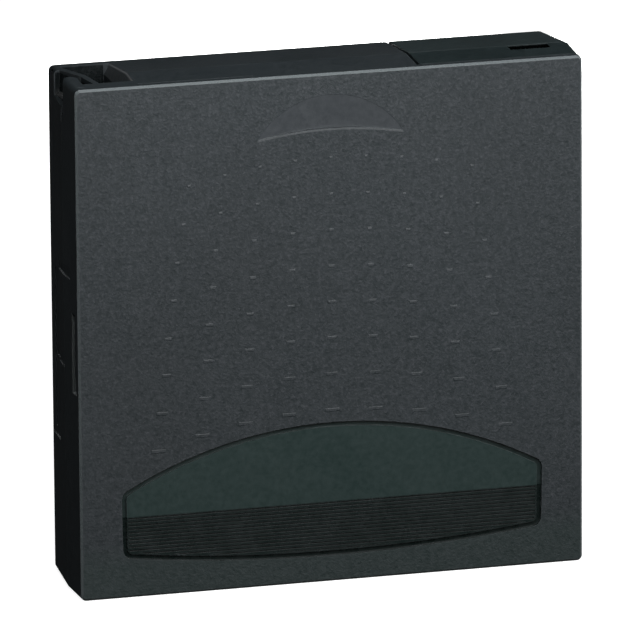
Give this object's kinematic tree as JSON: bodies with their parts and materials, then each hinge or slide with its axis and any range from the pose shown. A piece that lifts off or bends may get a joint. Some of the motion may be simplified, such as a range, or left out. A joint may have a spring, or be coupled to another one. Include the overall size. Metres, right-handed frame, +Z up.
{
  "type": "data tape cartridge",
  "caption": "Square dark cartridge for half-inch data tape: crowned two-part shell with arched ribbed panel, thumb crescent, corner notch and a swinging access door over the leader.",
  "frame": {"origin": "middle of the lower (label) edge that the cartridge stands on, at mid thickness", "axes": "+Z up to the insertion edge, -Y out of the broad cover face, +X to the door side"},
  "size_m": [0.1054, 0.0254, 0.1058],
  "materials": {
    "shell_plastic": "fine spark-textured dark green-grey moulding",
    "door_plastic": "fine textured dark green-grey moulding, a shade darker",
    "reel_plastic": "smooth dark grey moulding",
    "tape_film": "edge of wound dark brown tape",
    "leader_film": "pale polyester film",
    "acetal_white": "natural white moulding",
    "spring_steel": "drawn spring wire",
    "pin_steel": "ground steel",
    "screw_steel": "zinc plated",
    "slider_orange": "bright orange moulding"
  },
  "bodies": {
    "case": {"top_cover": "shell_plastic", "base_shell": "shell_plastic", "case_screws": "screw_steel", "leader_strip": "leader_film", "leader_pin": "pin_steel", "leader_pin_clip": "spring_steel", "door_spring": "spring_steel", "door_lock_spring": "spring_steel", "reel_spring": "spring_steel", "brake_spring_left": "spring_steel", "brake_spring_right": "spring_steel"},
    "access_door": {"access_door": "door_plastic"},
    "door_lock": {"door_lock": "acetal_white"},
    "thrust_button": {"thrust_button": "acetal_white"},
    "reel": {"reel_hub": "reel_plastic", "upper_flange": "reel_plastic", "tape_pack": "tape_film", "hub_tape_clip": "acetal_white"},
    "brake_left": {"brake_lever_left": "acetal_white"},
    "brake_right": {"brake_lever_right": "acetal_white"},
    "write_protect": {"write_protect_slider": "slider_orange"}
  },
  "joints": [
    {"name": "door_swing", "type": "hinge", "parent": "case", "child": "access_door", "pos_m": [0.0496, 0, 0.0855], "axis": [0, 1, 0], "range_deg": [0, 95], "stiffness_Nm_per_rad": 0.003, "springref_deg": -68.75},
    {"name": "lock_turn", "type": "hinge", "parent": "case", "child": "door_lock", "pos_m": [0.0274, 0.0097, 0.097], "axis": [0, 1, 0], "range_deg": [0, 10], "stiffness_Nm_per_rad": 0.001, "springref_deg": -34.38},
    {"name": "reel_lift", "type": "slide", "parent": "case", "child": "thrust_button", "axis": [0, -1, 0], "range_m": [0, 0.002], "stiffness_N_per_m": 900, "springref_m": -0.006, "deforming": ["reel_spring"]},
    {"name": "reel_spin", "type": "hinge", "parent": "thrust_button", "child": "reel", "pos_m": [0, 0, 0.0529], "axis": [0, 1, 0], "continuous": true},
    {"name": "brake_left_turn", "type": "hinge", "parent": "case", "child": "brake_left", "pos_m": [-0.0435, 0.0094, 0.0195], "axis": [0, 1, 0], "range_deg": [0, 12], "stiffness_Nm_per_rad": 0.001, "springref_deg": -34.38},
    {"name": "brake_right_turn", "type": "hinge", "parent": "case", "child": "brake_right", "pos_m": [0.0435, 0.0094, 0.0195], "axis": [0, -1, 0], "range_deg": [0, 12], "stiffness_Nm_per_rad": 0.001, "springref_deg": -34.38},
    {"name": "write_protect_slide", "type": "slide", "parent": "case", "child": "write_protect", "axis": [1, 0, 0], "range_m": [0, 0.0045]}
  ]
}
